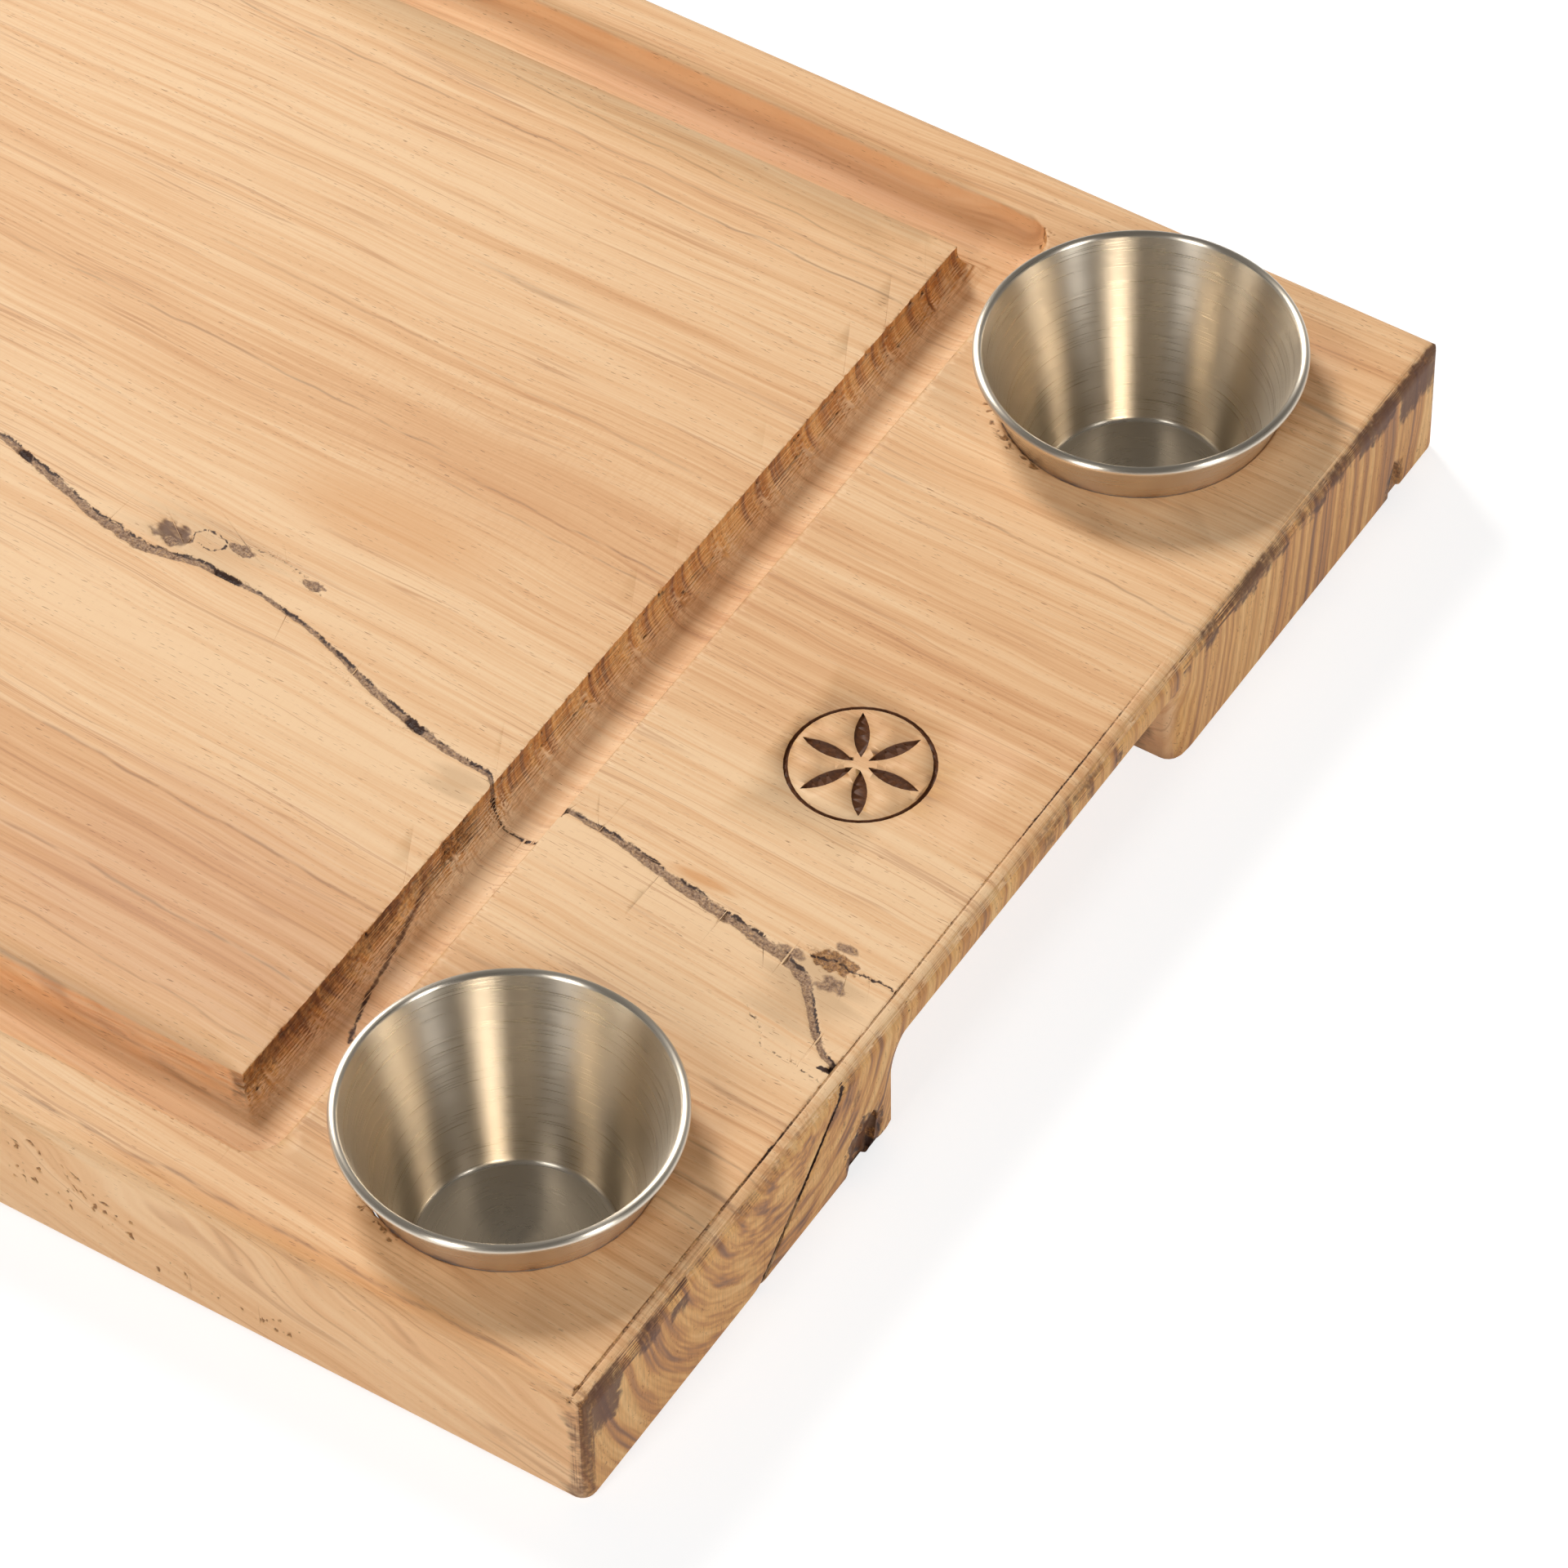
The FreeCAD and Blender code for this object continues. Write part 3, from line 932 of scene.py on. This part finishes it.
    def _knots(self, wear: Wear, x: float, y: float) -> None:
        """Sink the two rough knots beside the seam."""
        if -30 < y < -6 and 36 < x < 86:
            rough = grain(x / 1.7, y / 1.4, 6.0)
            dark = rise(in_ellipse(x, y, (47, -19.4), (5.2, 3.6)) + 0.35 * rough, 0.0, 0.35)
            chip = rise(in_ellipse(x, y, (54, -17.2), (3.6, 2.0)) + 0.3 * rough, 0.0, 0.12)
            lilac = max(rise(in_ellipse(x, y, (60.4, -16), (3.2, 1.5)) + 0.4 * rough, 0.0, 0.3),
                        rise(in_ellipse(x, y, (47.5, -21), (1.6, 1.2)) + 0.2 * rough, 0.0, 0.2),
                        rise(in_ellipse(x, y, (77, -16.4), (2.8, 1.1)) + 0.4 * rough, 0.0, 0.3))
            wear.burn_and_shade = max(wear.burn_and_shade, 0.85 * dark * (1 - chip))
            wear.bark = max(wear.bark, lilac) * (1 - 0.8 * chip)
            wear.crack = max(wear.crack, 0.8 * rise(abs(in_ellipse(x, y, (54, -17.2), (3.6, 2.0))
                                                        + 0.3 * rough), 0.12, 0.0))
            wear.depth += 0.25 * dark * (1 - chip) + 0.22 * lilac + 0.1 * rough * dark
        if -66 < y < -32 and 188 < x < 223:
            rough = grain(x / 1.5, y / 1.5, 16.0)
            pit = rise(in_ellipse(x, y, (208.6, -42.6), (5.4, 2.6)) + 0.4 * rough, 0.0, 0.3)
            lilac = max(rise(in_ellipse(x, y, (211, -47.6), (4.0, 2.6)) + 0.4 * rough, 0.0, 0.5),
                        rise(in_ellipse(x, y, (209, -38.8), (3.4, 1.5)) + 0.3 * rough, 0.0, 0.5),
                        rise(in_ellipse(x, y, (201, -44.4), (4.0, 1.6)) + 0.3 * rough, 0.0, 0.5))
            wear.torn = max(wear.torn, pit)
            wear.bark = max(wear.bark, 0.6 * lilac * (1 - pit))
            wear.burn_and_shade = max(wear.burn_and_shade, 0.45 * lilac)
            wear.depth += pit * (0.4 + 0.25 * grain(x / 0.7, y / 0.6, 2.0)) + 0.08 * lilac

    def _groove(self, wear: Wear, x: float, y: float, z: float) -> None:
        """Tear the fibres on the groove's two walls, paint shade on the upper part of the inner wall, and ravel its
        upper edge.
        """
        down = (self.thickness - z) + max(x - self.groove_inner, 0.0)
        on_inner = x < 139.5 and -126 < y < 124
        if on_inner and z < 28.9:
            crowd = 0.5 + 0.5 * grain(0.0, y / 7.0, 4.0) + 0.35 * bump_of(y, -34, -8, 8)
            crowd *= bump_of(y, -58, 112, 8)
            mark = grain(down / 2.6, (y + 0.25 * down) / 0.62, 1.0) + 0.4 * grain(down / 0.9, y / 0.5, 7.0)
            torn = rise(mark, 0.62 - 0.34 * crowd, 0.95 - 0.3 * crowd) * bump_of(down, 0.8, 7.5, 1.2)
            wear.torn = max(wear.torn, torn)
            wear.crack = max(wear.crack, 0.8 * rise(torn, 0.55, 1.0))
            wear.depth += 0.45 * torn
            rough = grain(x / 0.9, y / 1.0, 22.0)
            knot = rise(in_ellipse(down, y, (3.5, -51.5), (4.0, 7.0)) + 0.25 * rough, 0.0, 0.3)
            wear.torn = max(wear.torn, knot * (0.55 + 0.4 * rough))
            wear.depth += knot * (0.25 + 0.2 * rough)
            tide = grain(0.0, y / 9.0, 12.0)
            # Painted shade: the upper part of the inner wall, which faces away from the key light, is darkened all
            # along, and more strongly over the near part.
            wear.burn_and_shade = max(wear.burn_and_shade, bump_of(y, -124, -62, 8) * rise(down, 9.5, 3.0) * (0.62 + 0.35 * tide))
            wear.burn_and_shade = max(wear.burn_and_shade, 0.34 * rise(down, 7.0, 0.5) * (0.8 + 0.5 * tide))
        if x > 141.5 and z < 28.9 and -124 < y < 128:
            patch = rise(grain(0.3, y / 4.6, 31.0) + 0.35 * grain(x / 2.0, y / 1.6, 2.0), -0.05, 0.4)
            stripe = 0.5 + 0.5 * grain(z / 1.4, (y + 0.6 * z) / 0.38, 9.0)
            rasp = patch * stripe * bump_of(z, 23.6, 27.8, 0.8)
            wear.torn = max(wear.torn, 0.55 * rasp)
            wear.depth += 0.16 * rasp
        outline, _ = from_path(self.tongue, x, y)
        if outline < 1.2 and z < 27:
            line = rise(outline + 0.25 * grain(x, y / 2.0, 0.0), 0.7, 0.15)
            wear.burn_and_shade = max(wear.burn_and_shade, 0.8 * line)
            wear.crack = max(wear.crack, 0.55 * line * bump_of(y, -101, -88, 4))
            wear.depth += 0.12 * line
        if abs(x - self.groove_inner) < 0.9 and z > 27.2:
            ravel = max(0.0, grain(y / 2.6, 4.0, 9.0)) + 0.5 * max(0.0, grain(y / 0.8, 8.0, 1.0))
            wear.depth += 0.55 * ravel * rise(abs(x - self.groove_inner), 0.9, 0.1)
            wear.crack = max(wear.crack, 0.4 * ravel)

    def _rims(self, wear: Wear, x: float, y: float, z: float) -> None:
        """Ravel the outer edge of the near groove, the far corner and the eased bores."""
        if z < 22:
            return
        fringe = 0.0
        if 108 < x < 149 and -137 < y < -127:
            fringe = bump_of(x, 114, 140, 5) * bump_of(y, -134.4, -132.6, 1.0)
        if 139 < x < 149 and 129 < y < 138:
            fringe = max(fringe, rise(in_ellipse(x, y, (145, 134.4), (2.6, 2.2)), -0.2, 0.4))
        for sign in (-1, 1):
            dx, dy = x - self.bore_centre[0], y - sign * self.bore_centre[1]
            out = math.hypot(dx, dy) - self.bore_rim
            if -1.5 < out < 3 and z > 26:
                bearing = math.degrees(math.atan2(dy, dx)) % 360
                fringe = max(fringe, bump_of(bearing, 205, 256, 10) * bump_of(out, -0.9, 0.7, 0.9))
        if fringe > 0:
            rough = grain(x / 1.6, y / 0.55, 14.0) + 0.3 * grain(x / 0.5, y / 0.5, 3.0)
            torn = fringe * rise(rough, 0.0, 0.5)
            wear.torn = max(wear.torn, torn)
            wear.depth += 0.4 * torn
        spot = rise(math.hypot((x - 137.5) / 1.6, (y + 133.1) / 0.6), 1.0, 0.4)
        wear.crack = max(wear.crack, spot)

    def _end(self, wear: Wear, x: float, y: float, z: float) -> None:
        """Mark the sawn end: the cutter's step, dark arris, painted shade on the recess's side wall, split, bark
        pocket and chip.
        """
        rough = grain(x / 1.2, y / 1.6, z / 1.6)
        if z > 27.5 and x < 223.2:
            line = rise(abs(x - self.step_x + 0.25 * grain(0, y / 3.0, 0)), 0.42, 0.08)
            shown = rise(y, 66, 30) * (0.4 + 0.5 * grain(0, y / 2.2, 6.0))
            wear.crack = max(wear.crack, line * shown)
            wear.depth += 0.18 * line * rise(y, 66, 30)
            hole = rise(in_ellipse(x, y, (221.8, -63.4), (1.6, 1.4)) + 0.3 * rough, 0.0, 0.4)
            notch = rise(in_ellipse(x, y, (222.6, -68.4), (1.6, 0.9)) + 0.3 * rough, 0.0, 0.4)
            wear.crack = max(wear.crack, hole, notch)
            wear.depth += 1.0 * hole + 0.6 * notch
        if x > 221:
            self._dark_arris(wear, x, y, z, rough)
        # Painted shade: a flat dark patch on the recess's side wall at the far leg, under the board, where shade
        # falls.
        if x < 219 and 44 < y < 62 and z < 22:
            wear.burn_and_shade = max(wear.burn_and_shade, 0.6)
        split, _ = from_path(self.split_line, y, z)
        if x > 219 and split < 2.4:
            ragged = 0.5 * grain(y / 0.8, z / 0.8, 4.0)
            wear.crack = max(wear.crack, rise(split + 0.25 * ragged, 0.7, 0.2))
            if x > 224.2:
                wear.depth += 0.35 * rise(split, 1.2, 0.5) * (0.7 + ragged)
        pocket = in_ellipse(y, z, (-58.8, 4.5), (6.6, 8.4)) + 0.22 * rough
        if x > 218 and pocket > 0:
            wear.burn_and_shade = max(wear.burn_and_shade, rise(pocket, 0.0, 0.2))
            wear.crack = max(wear.crack, 0.8 * rise(grain(y / 1.1, z / 3.0, 5.0), 0.0, 0.4))
            wear.torn = max(wear.torn, 0.8 * rise(grain(y / 1.6, z / 3.4, 15.0), 0.05, 0.4))
            wear.depth += 0.4 * rise(pocket, 0.0, 0.3) * (0.6 + grain(y / 0.9, z / 2.2, 8.0))
        chip = in_ellipse(y, z, (133.8, 4.0), (3.4, 6.6)) + 0.2 * rough
        if x > 222 and chip > 0:
            wear.torn = max(wear.torn, 0.7 * rise(chip, 0.0, 0.3))
            wear.crack = max(wear.crack, 0.7 * rise(abs(y - 131.4 - 0.12 * z), 0.7, 0.1))

    def _dark_arris(self, wear: Wear, x: float, y: float, z: float, rough: float) -> None:
        """Darken the end's upper arris in patches, as the cutter burnt it.

        Args:
            wear: The spot.
            x: Its place in millimetres.
            y: The same, across the board.
            z: The same, above the table.
            rough: Noise at the spot.
        """
        patches = ((-149, -137, 17, 1.0), (-131, -125, 23, 0.8), (-120.5, -116, 22, 0.95), (-112, -108, 25, 0.6),
                   (-98, -93, 25, 0.5), (-89, -85, 26, 0.45), (3.5, 6.5, 22.5, 0.6), (10.5, 12, 22.5, 0.6),
                   (18.5, 20.5, 22.5, 0.6), (29, 31, 22.5, 0.65), (53.5, 55.5, 24, 0.7), (61.5, 65.5, 23.5, 0.8),
                   (72, 83, 24.6, 0.95), (84.5, 91.5, 24.8, 0.85), (96, 98, 25, 0.7), (100.5, 105.5, 24.5, 0.9),
                   (108, 115, 25, 0.75), (119, 132, 23.5, 1.0), (135, 149, 19, 0.95))
        lean = 0.25 * (29 - z)
        reach = rise(x, 222.9 - 0.7 * rough, 224.1)
        for low, high, floor, strength in patches:
            if low - 3 < y < high + 3:
                inside = bump_of(y + (lean if y < -60 else 0), low, high, 1.2)
                shown = inside * rise(z + 1.6 * rough, floor - 1.5, floor + 1.2)
                wear.burn_and_shade = max(wear.burn_and_shade, strength * reach * (shown + 0.35 * rough * shown))
        upright = rise(math.hypot(x - 222, y + 147), 4.6, 3.2) if y < -144 and z < 28 else 0.0
        wear.burn_and_shade = max(wear.burn_and_shade, 0.75 * upright * (0.7 + 0.6 * grain(z / 4.0, y / 2.0, 3.0)) * rise(y, -146, -148))
        torn_corner = bump_of(y, -150.5, -146.5, 1.0) * rise(z, 26.5, 28.5)
        wear.torn = max(wear.torn, 0.7 * torn_corner * rise(rough, -0.1, 0.3))
        if -66 < y < -59 and 9 < z < 28:
            wear.burn_and_shade = max(wear.burn_and_shade, 0.55 * rise(rough + 0.5 * grain(y / 2.4, z / 5.0, 7.0), -0.1, 0.5))

    def _front(self, wear: Wear, x: float, z: float) -> None:
        """Pit the near long face where the fibres tore out."""
        area = max(bump_of(x, 103, 109, 2) * bump_of(z, 11, 24, 2), bump_of(x, 113, 118, 1.5) * bump_of(z, 10, 22, 2),
                   bump_of(x, 120, 128, 1.5) * bump_of(z, 10.5, 19, 2) * 0.9,
                   bump_of(x, 134, 163, 3) * bump_of(z, 5, 9, 1.2) * 0.85)
        if area > 0:
            rough = grain(x / 1.1, 0.0, z / 1.8) + 0.5 * grain(x / 0.5, 4.0, z / 0.6)
            torn = area * rise(rough, 0.25, 0.7)
            wear.torn = max(wear.torn, torn)
            wear.depth += 0.5 * torn

    @staticmethod
    def _read(points: Sequence[tuple[float, float]], at: float) -> float:
        """Read a drawn line of values.

        Args:
            points: Places in order, and the values there.
            at: The place.

        Returns:
            The value, held beyond both ends.
        """
        if at <= points[0][0]:
            return points[0][1]
        for (low, first), (high, second) in zip(points, points[1:]):
            if at <= high:
                return first + (second - first) * (at - low) / (high - low)
        return points[-1][1]


@dataclass
class SauceCup:
    """One spun cup, hanging in its hole. Its section is drawn in millimetres from its axis and foot."""

    node: str
    centre: tuple[float, float]
    foot: float = 0.2
    taper: float = 16.19
    heel_x: float = 18.02
    heel_round: float = 1.7
    sheet: float = 0.5
    bead_x: float = 31.125
    bead_z: float = 39.025
    bead_radius: float = 0.975
    curl_end: float = -80.0
    steps: int = 144

    def build(self) -> bpy.types.Object:
        """Spin the cup from its section and give it its steel.

        Returns:
            The cup.
        """
        points = self._section()
        cx, cy = self.centre
        deselect()
        bpy.ops.mesh.primitive_plane_add(size=MM, location=(0, 0, 0))
        cup = bpy.context.object
        cup.name = self.node.replace("cup", "spun_cup")
        bpy.ops.object.mode_set(mode="EDIT")
        bpy.ops.mesh.select_mode(type="VERT")
        bpy.ops.mesh.select_all(action="SELECT")
        bpy.ops.mesh.merge(type="CENTER")
        first = Vector((cx + points[0][0], cy, self.foot + points[0][1])) * MM
        bpy.ops.transform.translate(value=first)
        for (r0, z0), (r1, z1) in zip(points, points[1:]):
            step = Vector((r1 - r0, 0, z1 - z0)) * MM
            bpy.ops.mesh.extrude_region_move(TRANSFORM_OT_translate={"value": step})
        bpy.ops.mesh.select_all(action="SELECT")
        bpy.ops.mesh.spin(steps=self.steps, angle=2 * math.pi, center=(cx * MM, cy * MM, 0), axis=(0, 0, 1))
        bpy.ops.mesh.select_all(action="SELECT")
        bpy.ops.mesh.remove_doubles(threshold=MM * 0.002)
        bpy.ops.mesh.normals_make_consistent(inside=False)
        close_edit(40)
        cup.data.materials.append(SpunSteel().material(f"{self.node}_steel", cx, cy))
        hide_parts(self.node)
        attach(cup, "root")
        log.info("%s spun, %d faces", self.node, len(cup.data.polygons))
        return cup

    def _section(self) -> list[tuple[float, float]]:
        """Draw the closed section from the axis outwards and back.

        Returns:
            Points as (distance from the axis, height above the foot).
        """
        heel = (self.heel_x, self.heel_round)
        bead = (self.bead_x, self.bead_z)
        hollow = self.bead_radius - self.sheet
        wall_side = 180 - self.taper
        points = [(self.heel_x * share / 6, 0.0) for share in range(6)]
        points += self._arc(heel, self.heel_round, -90, -self.taper, 8)
        points += self._straight(points[-1], self._arc(bead, hollow, wall_side, wall_side, 1)[0], 10)
        points += self._arc(bead, hollow, wall_side, self.curl_end, 14)
        points += self._arc(bead, self.bead_radius, self.curl_end, wall_side, 22)
        inner = self._arc(heel, self.heel_round - self.sheet, -self.taper, -90, 6)
        points += self._straight(points[-1], inner[0], 12) + inner
        points += [(self.heel_x * (5 - share) / 6, self.sheet) for share in range(6)]
        return points

    @staticmethod
    def _arc(centre: tuple[float, float], radius: float, start: float, end: float,
             count: int) -> list[tuple[float, float]]:
        """Lay points on an arc.

        Args:
            centre: The arc's centre.
            radius: Its radius.
            start: The first angle in degrees.
            end: The last angle.
            count: How many steps it has.

        Returns:
            The points, ends included.
        """
        turns = [math.radians(start + (end - start) * step / count) for step in range(count + 1)]
        return [(centre[0] + radius * math.cos(turn), centre[1] + radius * math.sin(turn)) for turn in turns]

    @staticmethod
    def _straight(start: tuple[float, float], end: tuple[float, float],
                  count: int) -> list[tuple[float, float]]:
        """Lay points between two others, without the two."""
        return [(start[0] + (end[0] - start[0]) * step / count, start[1] + (end[1] - start[1]) * step / count)
                for step in range(1, count)]


@dataclass
class Lamp:
    """One soft box, aimed at the middle of what shows."""

    name: str
    place: tuple[float, float, float]
    width: float
    height: float
    power: float
    colour: tuple[float, float, float] = (1.0, 1.0, 1.0)
    target: tuple[float, float, float] = (0.1, 0.0, 0.02)

    def light(self) -> None:
        """Hang the lamp."""
        data = bpy.data.lights.new(self.name, "AREA")
        data.shape = "RECTANGLE"
        data.size = self.width
        data.size_y = self.height
        data.energy = self.power
        data.color = self.colour
        lamp = bpy.data.objects.new(self.name, data)
        bpy.context.scene.collection.objects.link(lamp)
        aim = Vector(self.target) - Vector(self.place)
        lamp.matrix_world = Matrix.Translation(self.place) @ aim.to_track_quat("-Z", "Y").to_matrix().to_4x4()
        lamp.visible_camera = False


@dataclass
class Studio:
    """White floor, pale surroundings and soft boxes."""

    floor_half: float = 4.0
    shown_white: float = 0.5
    paper_glow: float = 1.45
    ambient: float = 0.2

    def build(self) -> None:
        """Set up the floor, the world and the lamps."""
        self._floor()
        self._world()
        for lamp in (
            Lamp("key_box", (-1.35, 0.85, 1.5), 0.6, 0.6, 36.0, (1.0, 0.98, 0.95)),
            Lamp("front_box", (0.1, -2.0, 1.2), 0.45, 1.4, 17.0),
            Lamp("side_box", (2.0, -0.35, 1.0), 0.35, 1.3, 13.0),
        ):
            lamp.light()
        bpy.context.scene.view_settings.view_transform = "Standard"

    def _floor(self) -> None:
        """Lay the white floor, which keeps the board's shadow."""
        deselect()
        bpy.ops.mesh.primitive_plane_add(size=2 * self.floor_half, location=(0, 0, 0))
        floor = bpy.context.object
        floor.name = "floor"
        g = Graph("white_paper")
        g.material.cycles.emission_sampling = "NONE"
        seen = g.node("ShaderNodeLightPath", {}, {}, "Is Camera Ray")
        outs = seen.socket.node.outputs
        seen = seen.most(Wire(g, outs["Is Glossy Ray"])).most(Wire(g, outs["Is Transmission Ray"]))
        paper = g.node("ShaderNodeBsdfDiffuse", {}, {"Color": (0.92, 0.92, 0.92, 1.0)})
        white = g.node("ShaderNodeEmission", {}, {"Color": (1.0, 1.0, 1.0, 1.0), "Strength": self.paper_glow})
        shader = g.node("ShaderNodeMixShader", {}, {0: seen * self.shown_white, 1: paper, 2: white})
        floor.data.materials.append(g.finish(shader))

    def _world(self) -> None:
        """Surround the board with pale light, darker overhead."""
        world = bpy.data.worlds.new("pale_room")
        bpy.context.scene.world = world
        world.use_nodes = True
        tree = world.node_tree
        tree.nodes.clear()
        place = tree.nodes.new("ShaderNodeTexCoord")
        apart = tree.nodes.new("ShaderNodeSeparateXYZ")
        ramp = tree.nodes.new("ShaderNodeValToRGB")
        ramp.color_ramp.elements[0].position = 0.0
        ramp.color_ramp.elements[0].color = (0.95, 0.95, 0.95, 1)
        ramp.color_ramp.elements[1].position = 0.6
        ramp.color_ramp.elements[1].color = (0.34, 0.33, 0.32, 1)
        shine = tree.nodes.new("ShaderNodeBackground")
        shine.inputs["Strength"].default_value = self.ambient * 2
        out = tree.nodes.new("ShaderNodeOutputWorld")
        tree.links.new(place.outputs["Generated"], apart.inputs[0])
        tree.links.new(apart.outputs["Z"], ramp.inputs[0])
        tree.links.new(ramp.outputs[0], shine.inputs["Color"])
        tree.links.new(shine.outputs[0], out.inputs["Surface"])


@dataclass
class PhotoCamera:
    """The camera, placed as the photograph was taken."""

    eye: tuple[float, float, float] = (0.73801, -0.86874, 1.20982)
    azimuth: float = 33.1487
    elevation: float = 49.0719
    roll: float = 1.0103
    field_of_view: float = 10.4985

    def build(self) -> None:
        """Make the camera and look through it."""
        data = bpy.data.cameras.new("photo_camera")
        data.sensor_width = 36.0
        data.lens = data.sensor_width / 2 / math.tan(math.radians(self.field_of_view) / 2)
        data.clip_start = 0.1
        data.clip_end = 50.0
        camera = bpy.data.objects.new("photo_camera", data)
        bpy.context.scene.collection.objects.link(camera)
        a, e, r = (math.radians(v) for v in (self.azimuth, self.elevation, self.roll))
        back = Vector((math.sin(a) * math.cos(e), -math.cos(a) * math.cos(e), math.sin(e)))
        level = Vector((math.cos(a), math.sin(a), 0.0))
        down = (-back).cross(level)
        right = level * math.cos(r) + down * math.sin(r)
        drop = down * math.cos(r) - level * math.sin(r)
        turn = Matrix((right, -drop, back)).transposed().to_4x4()
        camera.matrix_world = Matrix.Translation(self.eye) @ turn
        bpy.context.scene.camera = camera


def main() -> None:
    """Build the pieces in order."""
    logging.basicConfig(level=logging.INFO, format="%(name)s: %(message)s")
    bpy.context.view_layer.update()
    Board().build()
    SauceCup("cup_front", (182.5, -108.4)).build()
    SauceCup("cup_rear", (182.5, 108.4)).build()
    Studio().build()
    PhotoCamera().build()


if __name__ == "__main__":
    main()
